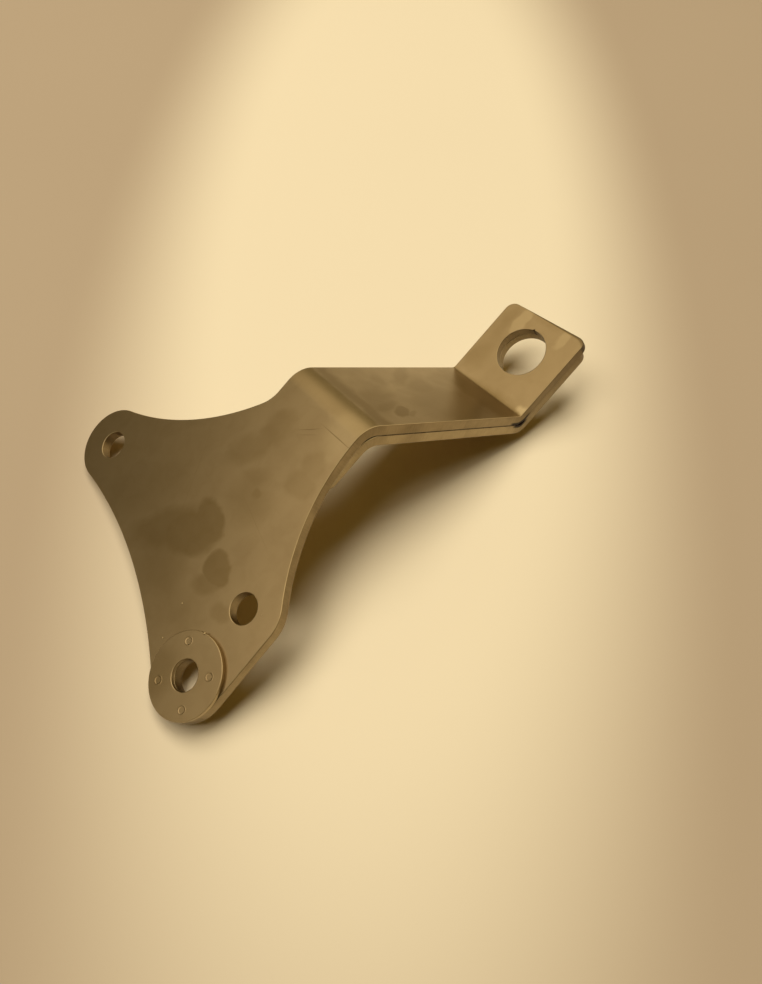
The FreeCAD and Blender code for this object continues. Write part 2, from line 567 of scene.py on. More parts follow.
# Painted shade in the wedge-shaped gap between the sheets at the second bend.
SECOND_BEND_GAP_SHADE = Spot(176.6, 10.8, 3.4, 1.6, 0, 0.35)
# A darker patch on the washer's face, on its side away from the tab.
WASHER_DARKER_PATCH = Spot(-6.5, 9.0, 8.0, 6.5, 0, 0.6, 0.45)


@dataclass(frozen=True)
class SeamDirtAndGapShade:
    """Dirt in the seam between the two sheets, as one sheet's cut wall shows it, and painted
    shade in the wedge-shaped gap between the sheets at the second bend.

    It runs from its first to its last place along the blank, at this height on it.
    """

    first: float
    last: float
    height: float
    reach: float
    gap_shades: tuple = (SECOND_BEND_GAP_SHADE,)
    end_softness: float = 2.0
    solid_share: float = 0.4
    strength: float = 0.55
    unevenness: float = 0.6
    wear: Texture = Texture((0.5, 0.5, 0.5))
    gap_shade_reach: tuple = (1.5, 0.8)

    def line(self, graph: FinishGraph, blank: Signal) -> Signal:
        """Draw the dirt and the painted shade in the gap at the second bend.

        Args:
            graph: The material's graph.
            blank: The place on the blank.

        Returns:
            1 in the dirt and in the painted shade, and 0 away from both.
        """
        along = graph.axis(blank, "X")
        above = graph.axis(blank, "Z") - self.height
        away = above.most(-above)
        soft = self.end_softness
        begun = along.step(self.first - soft, self.first + soft)
        here = begun * along.step(self.last + soft, self.last - soft)
        strength = self.strength + graph.texture(blank, self.wear) * self.unevenness
        line = away.step(self.reach, self.reach * self.solid_share) * here * strength
        # The wedge adds painted shade in the gap between the sheets at the second bend.
        return line.most(away.step(*self.gap_shade_reach) * graph.strongest(blank, self.gap_shades))


@dataclass(frozen=True)
class SheetSteel:
    """Rolled steel sheet: satin skin with handling marks, lighter rims and streaked cut walls.

    Stains, painted highlights and darker patches lie on the skin; the darker patches are partly
    random tone and partly painted shade by the bends. The rims are lighter from wear and from a
    painted highlight, painted shade darkens the cut walls, and the rim is darker where the end is
    rolled over. Each tuple of parts weighs the signals that its name or its place in material()
    gives.
    """

    name: str
    skin: tuple = (0.455, 0.365, 0.24, 1)
    skin_dark: tuple = (0.355, 0.275, 0.17, 1)
    stain_and_shade: tuple = (0.28, 0.208, 0.108, 1)
    wear_and_highlight: tuple = (0.68, 0.575, 0.39, 1)
    wall: tuple = (0.36, 0.28, 0.165, 1)
    wall_dark: tuple = (0.20, 0.148, 0.078, 1)
    black: tuple = (0.022, 0.014, 0.011, 1)
    stains: tuple = ()
    painted_highlights: tuple = ()
    scratches: tuple = ()
    painted_wall_shades: tuple = ()
    dark_tone_and_shade: tuple = ()
    nicks: tuple = ()
    rolls: tuple = ()
    seam: "SeamDirtAndGapShade | None" = None
    roughness: float = 0.31
    cloud: Texture = Texture((0.03, 0.05, 0.05), 3.0, 0.4)
    mottle: Texture = Texture((0.16, 0.16, 0.16), 4.0, 0.6)
    grain: Texture = Texture((0.12, 3.2, 3.2))
    pores: Texture = Texture((4.0, 4.0, 4.0), 3.0)
    streaks: Texture = Texture((2.2, 2.2, 0.25), 3.0)
    drift: Texture = Texture((0.25, 0.25, 0.4))
    patches: Texture = Texture((0.07, 0.07, 0.1))
    wander_scale: float = 0.11
    wander_reach: float = 6.0
    cloud_range: tuple = (0.35, 0.75)
    mottle_range: tuple = (0.4, 0.7)
    patch_range: tuple = (0.42, 0.62)
    worn_highlight_start: tuple = (0.0, 0.3)
    worn_highlight_end: tuple = (0.45, 0.9)
    roll_start: tuple = (0.02, 0.25)
    shade_parts: tuple = (0.35, 0.2, 0.2, 0.1)
    wall_parts: tuple = (0.6, 0.5, 0.35)
    wall_clear: float = 0.2
    highlight_part: float = 0.28
    scratch_part: float = 0.6
    stain_parts: tuple = (0.62, 0.25)
    worn_highlight_parts: tuple = (0.2, 0.8)
    rough_parts: tuple = (0.06, -0.04, 0.08, -0.06)
    height_parts: tuple = (0.35, 0.35, 1.6, -0.8)
    bump_distance: float = 0.00006
    bump_strength: float = 0.35

    def material(self) -> bpy.types.Material:
        """Build the finish.

        Returns:
            The material.
        """
        graph = FinishGraph(self.name)
        blank = graph.attribute("blank", "Vector")
        edge = graph.attribute("edge")
        uneven = graph.wandering(blank, self.wander_scale, self.wander_reach)
        cloud, mottle, grain, pores, streaks, drift, patches = (
            graph.texture(blank, texture) for texture in (
                self.cloud, self.mottle, self.grain, self.pores,
                self.streaks, self.drift, self.patches))
        stain = graph.strongest(uneven, self.stains)
        highlight = graph.strongest(uneven, self.painted_highlights)
        scratch = graph.strongest(blank, self.scratches)
        roll = graph.strongest(blank, self.rolls)

        clouded = cloud.step(*self.cloud_range)
        mottled = mottle.step(*self.mottle_range)
        shade = weighted(self.shade_parts, clouded, mottled, grain, pores)
        skin = graph.blend(shade, self.skin, self.skin_dark)
        # Darker patches, partly random tone and partly painted shade by the bends.
        skin = graph.blend(graph.strongest(uneven, self.dark_tone_and_shade), skin, self.stain_and_shade)
        # Painted highlights on the skin.
        skin = graph.blend(highlight * self.highlight_part, skin, self.wear_and_highlight)
        skin = graph.blend(stain * weighted(self.stain_parts, 1, mottle), skin, self.stain_and_shade)
        skin = graph.blend(scratch * self.scratch_part, skin, self.wall_dark)

        streaked = weighted(self.wall_parts, streaks, drift, patches.step(*self.patch_range))
        wall = graph.blend(streaked - self.wall_clear, self.wall, self.wall_dark)
        # Painted shade on the cut walls.
        wall = graph.blend(graph.strongest(blank, self.painted_wall_shades), wall, self.black)

        # Rims lighter from wear and from a painted highlight, except where the end is rolled
        # over.
        worn_highlight = edge.step(*self.worn_highlight_start) * (1 - edge.step(*self.worn_highlight_end)) * (1 - roll)
        colour = graph.blend(edge, skin, wall)
        colour = graph.blend(worn_highlight * weighted(self.worn_highlight_parts, 1, mottle), colour, self.wear_and_highlight)
        colour = graph.blend(edge.step(*self.roll_start) * roll, colour, self.wall_dark)
        colour = graph.blend(graph.strongest(blank, self.nicks), colour, self.black)
        if self.seam:
            colour = graph.blend(self.seam.line(graph, blank), colour, self.black)

        rough = weighted(self.rough_parts, cloud, grain, edge, worn_highlight, start=self.roughness)
        height = weighted(self.height_parts, grain, pores, streaks * edge, scratch)
        values = {
            "Height": height, "Distance": self.bump_distance, "Strength": self.bump_strength}
        normal = graph.node("ShaderNodeBump", {}, values, "Normal")
        return graph.surface(
            {"Base Color": colour, "Metallic": 1.0, "Roughness": rough, "Normal": normal})


@dataclass(frozen=True)
class PaperFloor:
    """Pale matt floor with a painted pool of light in an oval middle and painted shade round it.

    Far away, where only metal sees it, painted shade makes it dim.
    """

    name: str = "pale_floor"
    pale: tuple = (0.945, 0.765, 0.47, 1)
    falloff_shade: tuple = (0.50, 0.362, 0.212, 1)
    falloff_shade_range: tuple = (0.40, 0.80)
    falloff_shade_part: float = 0.96
    cloud_scale: float = 6.0
    cloud_part: float = 0.05
    far: tuple = (0.19, 0.122, 0.03, 1)
    far_range: tuple = (0.24, 0.50)
    middle: tuple = (0.1183, 0.095, 0.0)
    turn: float = math.radians(47.5)
    length: float = 0.606
    width: float = 0.18
    roughness: float = 0.9
    specular: float = 0.2

    def material(self) -> bpy.types.Material:
        """Build the finish.

        Returns:
            The material.
        """
        graph = FinishGraph(self.name)
        place = graph.node("ShaderNodeTexCoord", {}, {}, "Object")
        offset = graph.vector("SUBTRACT", place, self.middle)
        away = graph.oval(offset, self.turn, self.length, self.width)
        cloud = graph.noise(place, self.cloud_scale)
        # Painted pool of light: the floor falls off to painted shade away from the oval middle.
        amount = away.step(*self.falloff_shade_range) * self.falloff_shade_part + cloud * self.cloud_part
        colour = graph.blend(amount, self.pale, self.falloff_shade)
        # Painted shade: the far floor is dim for every ray but the camera's, so metal mirrors it
        # dim.
        unseen = 1 - graph.ray("Is Camera Ray")
        distant = graph.length(offset).step(*self.far_range)
        colour = graph.blend(distant * unseen, colour, self.far)
        return graph.surface({
            "Base Color": colour, "Roughness": self.roughness,
            "Specular IOR Level": self.specular})


@dataclass(frozen=True)
class PlateFrame:
    """The frame that the bracket is drawn in, before it is laid on the floor.

    Its origin is the lower hole on the plate's upper face. X runs from the plate to the tab,
    Y along the bends, and Z leaves the plate's upper face. Its unit is the millimetre.
    """

    matrix: Matrix

    @classmethod
    def from_mounts(cls, mounts: list, upper_hole: tuple, bore_middle: float) -> "PlateFrame":
        """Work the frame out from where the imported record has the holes.

        Args:
            mounts: The record's mounts.
            upper_hole: The upper hole's place in the frame.
            bore_middle: Height of the middle of the lower hole's wall in the frame.

        Returns:
            The frame.
        """
        places = {mount["name"]: mount for mount in mounts}
        up = Vector(places["lower_hole"]["axis"]).normalized()
        origin = Vector(places["lower_hole"]["pos_m"]) - up * bore_middle * MM
        lean = Vector(places["upper_hole"]["pos_m"]) - origin
        lean = (lean - up * lean.dot(up)).normalized()
        along = Matrix.Rotation(-math.atan2(upper_hole[1], upper_hole[0]), 3, up) @ lean
        columns = (along * MM, up.cross(along) * MM, up * MM, origin)
        rows = [[column[row] for column in columns] for row in range(3)]
        return cls(Matrix(rows + [[0, 0, 0, 1]]))


def placed(name: str, data: bpy.types.ID) -> bpy.types.Object:
    """Put some data in the scene.

    Args:
        name: The object's name.
        data: The mesh, lamp or camera that it shows.

    Returns:
        The object.
    """
    made = bpy.data.objects.new(name, data)
    bpy.context.scene.collection.objects.link(made)
    return made


def make_object(name: str, mesh_form: bmesh.types.BMesh) -> bpy.types.Object:
    """Turn finished mesh work into an object in the scene.

    Args:
        name: The object's name, and its mesh's.
        mesh_form: The mesh work, which is freed.

    Returns:
        The object.
    """
    mesh = bpy.data.meshes.new(name)
    mesh_form.to_mesh(mesh)
    mesh_form.free()
    return placed(name, mesh)


def seat(
    piece: bpy.types.Object, form: FormGraph, matrix: Matrix, slot: Slot, *nodes: str
) -> bpy.types.Object:
    """Shape a piece, lay it in place and join it to the bracket's body.

    Args:
        piece: The blank, or the points or line that the form grows on.
        form: The tree that shapes it.
        matrix: Where it goes.
        slot: The record's material slot; not used.
        nodes: The nodes that it stands for.

    Returns:
        The piece.
    """
    form.shape(piece)
    piece.data.transform(matrix)
    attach(piece, BODY)
    if nodes:
        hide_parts(*nodes)
    LOG.info("%s: %d faces", piece.name, len(piece.data.polygons))
    return piece


@dataclass(frozen=True)
class EdgePoint:
    """A point on a cut edge, seen from above, with the direction out of the metal."""

    place: Vector
    outward: Vector

    def inside(self, inset: float, depth: float) -> tuple:
        """The place this far into the metal and this far below the upper face."""
        flat = self.place - self.outward * inset
        return flat.x, flat.y, -depth


def round_pairs(items: list) -> zip:
    """Each item with the next one, and the last with the first."""
    return zip(items, items[1:] + items[:1])


def point(x: float, y: float) -> Vector:
    """A point seen from above."""
    return Vector((x, y))


def on_the_way(origin: Vector, target: Vector, distance: float) -> Vector:
    """Point at this distance from origin on the way to target."""
    return origin + (target - origin).normalized() * distance


def meeting(centre_a: Vector, radius_a: float, centre_b: Vector, radius_b: float) -> Vector:
    """Find the point at known distances from two centres, left of the way from a to b.

    Args:
        centre_a: One centre.
        radius_a: The point's distance from it.
        centre_b: The other centre.
        radius_b: The point's distance from that one.

    Returns:
        The point.
    """
    span = (centre_b - centre_a).length
    along = (span**2 + radius_a**2 - radius_b**2) / (2 * span)
    ahead = (centre_b - centre_a) / span
    left = point(-ahead.y, ahead.x)
    return centre_a + ahead * along + left * math.sqrt(radius_a**2 - along**2)


def straight(start: Vector, end: Vector) -> list:
    """Edge points of a straight stretch, with the metal on the left.

    Args:
        start: First point.
        end: Where the next edge starts.

    Returns:
        The points, none further apart than STRAIGHT_SPACING.
    """
    count = max(1, math.ceil((end - start).length / STRAIGHT_SPACING))
    ahead = (end - start).normalized()
    outward = point(ahead.y, -ahead.x)
    return [EdgePoint(start.lerp(end, step / count), outward) for step in range(count)]


def curved(start: Vector, end: Vector, centre: Vector, hollow: bool = False) -> list:
    """Edge points of an arc, the short way round, from start to just short of end.

    Args:
        start: First point.
        end: Where the next edge starts.
        centre: Middle of the arc.
        hollow: Whether the metal lies outside the arc.

    Returns:
        The points, none further apart than ARC_TURN or ARC_SPACING.
    """
    first = start - centre
    last = end - centre
    sweep = math.atan2(first.cross(last), first.dot(last))
    by_turn = math.ceil(abs(sweep) / ARC_TURN)
    by_spacing = math.ceil(abs(sweep) * first.length / ARC_SPACING)
    count = max(2, by_turn, by_spacing)
    points = []
    for step in range(count):
        arm = Matrix.Rotation(sweep * step / count, 2) @ first
        outward = arm.normalized() * (-1 if hollow else 1)
        points.append(EdgePoint(centre + arm, outward))
    return points


def round_hole(centre: Vector, diameter: float, count: int = 72) -> list:
    """Edge points of a round hole.

    Args:
        centre: Its middle.
        diameter: Its width.
        count: How many points it gets.

    Returns:
        The points.
    """
    points = []
    for step in range(count):
        turn = 2 * math.pi * step / count
        arm = point(math.cos(turn), math.sin(turn))
        points.append(EdgePoint(centre + arm * diameter / 2, -arm))
    return points


def rounded_end(start: Vector, corners: list, radius: float, end: Vector) -> list:
    """Edge points of a stretch with rounded corners.

    Args:
        start: First point.
        corners: The corners on the way, in order.
        radius: Radius that each corner is rounded by.
        end: Where the next edge starts.

    Returns:
        The points.
    """
    points = []
    here = start
    for number, corner in enumerate(corners):
        after = corners[number + 1] if number + 1 < len(corners) else end
        half_angle = (here - corner).angle(after - corner) / 2
        setback = radius / math.tan(half_angle)
        entry = on_the_way(corner, here, setback)
        leave = on_the_way(corner, after, setback)
        centre = on_the_way(corner, (entry + leave) / 2, radius / math.sin(half_angle))
        points += straight(here, entry) + curved(entry, leave, centre)
        here = leave
    return points + straight(here, end)


@dataclass
class FoldRule:
    """How a flat blank is folded: down at the first bend and back up at the second."""

    angle: float = math.radians(59)
    first_x: float = 96.9
    first_radius: float = 10.0
    second_radius: float = 2.0
    drop: float = 69.5
    first_cuts: int = 20
    second_cuts: int = 14
    ease: float = 0.3

    @property
    def first_start(self) -> float:
        """Where the first bend starts on the blank."""
        return self.first_x - self.first_radius * math.tan(self.angle / 2)

    @property
    def arm_start(self) -> float:
        """Where the first bend ends on the blank."""
        return self.first_start + self.first_radius * self.angle

    @property
    def arm_length(self) -> float:
        """Length of the straight arm between the bends."""
        corners = (self.first_radius + self.second_radius) * math.tan(self.angle / 2)
        return self.drop / math.sin(self.angle) - corners

    @property
    def second_start(self) -> float:
        """Where the second bend starts on the blank."""
        return self.arm_start + self.arm_length

    @property
    def tab_start(self) -> float:
        """Where the second bend ends on the blank."""
        return self.second_start + self.second_radius * self.angle

    @property
    def second_x(self) -> float:
        """Where the arm's and the tab's upper faces would meet without a bend radius."""
        return self.first_x + self.drop / math.tan(self.angle)

    @property
    def tab_shift(self) -> float:
        """How much further along a place on the tab is on the blank than on the folded sheet."""
        return self.tab_start - (self.second_x + self.second_radius * math.tan(self.angle / 2))

    def creases(self) -> list:
        """Find where the blank needs a cut across it, to bend smoothly.

        Returns:
            The places along it.
        """
        places = []
        for start, end, cuts in (
                (self.first_start, self.arm_start, self.first_cuts),
                (self.second_start, self.tab_start, self.second_cuts)):
            places += [start - self.ease, end + self.ease]
            places += [start + (end - start) * step / cuts for step in range(cuts + 1)]
        return places

    def graph(self, name: str, material: bpy.types.Material) -> FormGraph:
        """Make the Geometry Nodes tree that folds a blank by this rule.

        Args:
            name: The tree's name.
            material: The sheet's finish.

        Returns:
            The tree.
        """
        form = FormGraph(name)
        angle = form.size("Bend angle", self.angle)
        first_start = form.size("First bend start", self.first_start)
        first_radius = form.size("First bend radius", self.first_radius)
        arm_length = form.size("Arm length", self.arm_length)
        second_radius = form.size("Second bend radius", self.second_radius)
        along, across, above = (form.axis(form.place(), name) for name in "XYZ")

        # Length of the blank that lies in each stretch before this point
        past_first = (along - first_start).most(0)
        in_first = past_first.least(first_radius * angle)
        past_arm = (past_first - first_radius * angle).most(0)
        in_arm = past_arm.least(arm_length)
        past_second = (past_arm - arm_length).most(0)
        in_second = past_second.least(second_radius * angle)
        on_tab = (past_second - second_radius * angle).most(0)

        turned = in_first / first_radius
        left = angle - in_second / second_radius
        slope = turned - in_second / second_radius
        x = along.least(first_start) + first_radius * turned.sine() + in_arm * angle.cosine()
        x = x + second_radius * (angle.sine() - left.sine()) + on_tab + above * slope.sine()
        z = first_radius * (turned.cosine() - 1) - in_arm * angle.sine()
        z = z - second_radius * (left.cosine() - angle.cosine()) + above * slope.cosine()
        values = {"Geometry": form.start(), "Position": form.combined(x, across, z)}
        form.close(form.node("GeometryNodeSetPosition", {}, values), material)
        return form


@dataclass(frozen=True)
class Swelling:
    """A place near which the upper rim of an end is rolled over further."""

    place: Vector
    reach: float
    extra: float


@dataclass
class CutSheet:
    """A flat sheet cut to an outline, with rolled-over upper and lower rims."""

    thick: float
    upper_rim: float = 0.25
    lower_rim: float = 0.25
    support: float = 0.05
    rim_steps: int = 4
    swellings: tuple = ()

    def rows(self, upper: float) -> list:
        """Draw the section of a cut edge, from the upper face down.

        Args:
            upper: Radius of its upper rim.

        Returns:
            Its rows, each as (inset, depth, edge).
        """
        lower = self.lower_rim
        turns = [math.pi / 2 * step / self.rim_steps for step in range(self.rim_steps + 1)]
        rows = [(upper + self.support, 0.0, 0.0)]
        for step, turn in enumerate(turns):
            inset = upper * (1 - math.sin(turn))
            rows.append((inset, upper * (1 - math.cos(turn)), step / self.rim_steps))
        rows.append((0.0, upper + self.support, 1.0))
        rows.append((0.0, self.thick - lower - self.support, 1.0))
        for step, turn in enumerate(turns):
            inset = lower * (1 - math.cos(turn))
            depth = self.thick - lower * (1 - math.sin(turn))
            rows.append((inset, depth, 1 - step / self.rim_steps))
        rows.append((lower + self.support, self.thick, 0.0))
        return rows

    def rows_at(self, spot: EdgePoint) -> list:
        """Draw the section at one edge point, with a wider upper rim near a swelling.

        Args:
            spot: The edge point.

        Returns:
            Its rows.
        """
        upper = self.upper_rim
        for swelling in self.swellings:
            near = max(0.0, 1 - (spot.place - swelling.place).length / swelling.reach)
            upper += swelling.extra * near * max(0.0, spot.outward.x)
        return self.rows(upper)

    def fill(self, mesh_form: bmesh.types.BMesh, loops: list, row: int, dents: tuple) -> None:
        """Make one of the two flat faces.

        Args:
            mesh_form: The mesh work.
            loops: Edge points of the outline and of each hole.
            row: The row of the cut edges that the face ends at.
            dents: Edge points of each opening that a dent will fill.
        """
        rings = [[spot.inside(*self.rows_at(spot)[row][:2]) for spot in loop] for loop in loops]
        rings += [[spot.inside(0, 0) for spot in loop] for loop in dents]
        borders = []
        for ring in rings:
            corners = [mesh_form.verts.new(place) for place in ring]
            borders += [mesh_form.edges.new(pair) for pair in round_pairs(corners)]
        bmesh.ops.triangle_fill(mesh_form, use_beauty=True, edges=borders)

    def wall(self, mesh_form: bmesh.types.BMesh, loop: list) -> None:
        """Make one cut edge, from rim to rim.

        Args:
            mesh_form: The mesh work.
            loop: The edge points that it runs along.
        """
        edge_layer = mesh_form.verts.layers.float["edge"]
        strips = []
        for spot in loop:
            strip = []
            for inset, depth, edge in self.rows_at(spot):
                vertex = mesh_form.verts.new(spot.inside(inset, depth))
                vertex[edge_layer] = edge
                strip.append(vertex)
            strips.append(strip)
        for here, there in round_pairs(strips):
            for row in range(len(here) - 1):
                corners = (here[row], here[row + 1], there[row + 1], there[row])
                mesh_form.faces.new(corners)

    def build(
        self, name: str, loops: list, creases: list, dents: tuple = (), seeds: tuple = ()
    ) -> bpy.types.Object:
        """Make the blank.

        Args:
            name: The piece's name.
            loops: Edge points of the outline and of each hole.
            creases: Places along the blank where it is cut across, ready to bend.
            dents: Edge points of each opening in the upper face alone, which a dent will fill.
            seeds: Places that get a loose point, where a small form will stand.

        Returns:
            The blank as an object.
        """
        mesh_form = bmesh.new()
        mesh_form.verts.layers.float.new("edge")
        self.fill(mesh_form, loops, 0, dents)
        self.fill(mesh_form, loops, -1, ())
        for loop in loops:
            self.wall(mesh_form, loop)
        bmesh.ops.remove_doubles(mesh_form, verts=mesh_form.verts, dist=SAME_PLACE)
        for place in creases:
            parts = mesh_form.verts[:] + mesh_form.edges[:] + mesh_form.faces[:]
            bmesh.ops.bisect_plane(
                mesh_form, geom=parts, dist=SAME_PLACE, plane_co=(place, 0, 0),
                plane_no=(1, 0, 0))
        wide = [face for face in mesh_form.faces if len(face.verts) > 4]
        bmesh.ops.triangulate(mesh_form, faces=wide)
        bmesh.ops.recalc_face_normals(mesh_form, faces=mesh_form.faces)
        blank_layer = mesh_form.verts.layers.float_vector.new("blank")
        for vertex in mesh_form.verts:
            vertex[blank_layer] = vertex.co
        for face in mesh_form.faces:
            face.smooth = True
        seed_layer = mesh_form.verts.layers.float.new("seed")
        for place in seeds:
            mesh_form.verts.new(place)[seed_layer] = 1.0
        return make_object(name, mesh_form)


@dataclass
class MountingPlate:
    """The main sheet: lobed plate, folded arm and square tab in one piece."""

    thick: float = 4.0
    hole: float = 10.5
    inner_hole: tuple = (27.9, 0.8)
    upper_hole: tuple = (28.9, 95.8)
    lobe: float = 14.4
    waist: float = 160.0
    shoulder: float = 98.0
    neck: float = 12.0
    neck_x: float = 86.0
    flank: float = 82.0
    arm_y: float = 10.8
    arm_width: float = 39.0
    tab_length: float = 37.0
    tab_turn: float = math.radians(4)
    tab_corner: float = 4.0
    tab_hole: float = 20.0
    tab_hole_back: float = 16.4
    tab_hole_sides: int = 96
    swell_reach: float = 30.0
    swell_extra: float = 1.7
    fold: FoldRule = field(default_factory=FoldRule)

    @property
    def far_y(self) -> float:
        """Far side of the arm."""
        return self.arm_y + self.arm_width

    @property
    def tab_end(self) -> float:
        """The tab's free end on the blank, at mid width."""
        return self.fold.second_x + self.tab_length + self.fold.tab_shift

    @property
    def tab_hole_place(self) -> Vector:
        """Middle of the tab's hole on the blank."""
        return point(self.tab_end - self.tab_hole_back, self.arm_y + self.arm_width / 2)

    @property
    def flank_centre(self) -> Vector:
        """Find the middle of the hollow flank, from the inner lobe to the arm's near side.

        Returns:
            The place on the blank.
        """
        drop = self.inner_hole[1] - (self.arm_y - self.flank)
        run = math.sqrt((self.flank + self.lobe) ** 2 - drop**2)
        return point(self.inner_hole[0] + run, self.arm_y - self.flank)

    def outline(self) -> list:
        """Draw the blank's outline, from the lower lobe round to the waist.

        Returns:
            Its edge points.
        """
        lower = point(0, 0)
        inner = point(*self.inner_hole)
        upper = point(*self.upper_hole)
        waist = meeting(lower, self.waist + self.lobe, upper, self.waist + self.lobe)
        neck = point(self.neck_x, self.far_y + self.neck)
        shoulder = meeting(upper, self.shoulder + self.lobe, neck, self.shoulder - self.neck)
        flank = self.flank_centre
        side = (inner - lower).normalized()
        outward = point(side.y, -side.x) * self.lobe
        low_waist = on_the_way(lower, waist, self.lobe)
        inner_flank = on_the_way(inner, flank, self.lobe)
        arm_near = point(flank.x, self.arm_y)
        arm_far = point(self.neck_x, self.far_y)
        neck_top = on_the_way(shoulder, neck, self.shoulder)
        high_shoulder = on_the_way(upper, shoulder, self.lobe)
        high_waist = on_the_way(upper, waist, self.lobe)
        skew = self.arm_width / 2 * math.tan(self.tab_turn)
        corners = [point(self.tab_end + skew, self.arm_y), point(self.tab_end - skew, self.far_y)]
        points = curved(low_waist, lower + outward, lower)
        points += straight(lower + outward, inner + outward)
        points += curved(inner + outward, inner_flank, inner)
        points += curved(inner_flank, arm_near, flank, hollow=True)
        points += rounded_end(arm_near, corners, self.tab_corner, arm_far)
        points += curved(arm_far, neck_top, neck, hollow=True)
        points += curved(neck_top, high_shoulder, shoulder, hollow=True)
        points += curved(high_shoulder, high_waist, upper)
        points += curved(high_waist, low_waist, waist, hollow=True)
        return points

    def build(self, plate: PlateFrame, finish: SheetSteel) -> bpy.types.Object:
        """Make, fold, place and dress the sheet.

        Args:
            plate: The frame that it is drawn in.
            finish: The steel's finish.

        Returns:
            The sheet.
        """
        near_corner = point(self.tab_end, self.arm_y + 1)
        swelling = Swelling(near_corner, self.swell_reach, self.swell_extra)
        loops = [self.outline()]
        for place in ((0, 0), self.inner_hole, self.upper_hole):
            loops.append(round_hole(point(*place), self.hole))
        loops.append(round_hole(self.tab_hole_place, self.tab_hole, self.tab_hole_sides))
        sheet = CutSheet(self.thick, swellings=(swelling,))
        piece = sheet.build("mounting_plate", loops, self.fold.creases())
        form = self.fold.graph("fold_mounting_plate", finish.material())
        return seat(piece, form, plate.matrix, Slot.MAIN_PLATE, "main_plate")


@dataclass
class ArmDoubler:
    """The second sheet, nested under the arm and the tab."""

    plate: MountingPlate
    thick: float = 4.0
    reach: float = 26.2
    corner: float = 5.0
    set_back: float = 1.2
    upper_rim: float = 0.28
    lower_rim: float = 0.4

    @property
    def shift(self) -> float:
        """How far the nested fold lies back from the main sheet's."""
        return self.plate.thick * math.tan(self.plate.fold.angle / 2)

    def outline(self) -> list:
        """Draw the blank's outline.

        Returns:
            Its edge points.
        """
        start = self.plate.fold.first_x - self.reach + self.shift
        end = self.plate.tab_end - self.set_back + self.shift
        middle = (start + end) / 2
        near_start, near, near_end = (point(x, self.plate.arm_y) for x in (start, middle, end))
        far_start, far, far_end = (point(x, self.plate.far_y) for x in (start, middle, end))
        points = rounded_end(near, [near_end, far_end], self.plate.tab_corner, far)
        return points + rounded_end(far, [far_start, near_start], self.corner, near)

    def build(self, plate: PlateFrame, finish: SheetSteel) -> bpy.types.Object:
        """Make, fold, place and dress the sheet.

        Args:
            plate: The frame that it is drawn in.
            finish: The steel's finish.

        Returns:
            The sheet.
        """
        sizes = self.plate
        hole = sizes.tab_hole_place + point(self.shift, 0)
        loops = [self.outline(), round_hole(hole, sizes.tab_hole, sizes.tab_hole_sides)]
        sheet = CutSheet(self.thick, self.upper_rim, self.lower_rim)
        piece = sheet.build("arm_doubler", loops, sizes.fold.creases())
        form = sizes.fold.graph("fold_arm_doubler", finish.material())
        nested = Matrix.Translation((-self.shift, 0, -sizes.thick))
        return seat(piece, form, plate.matrix @ nested, Slot.DOUBLER, "doubler")


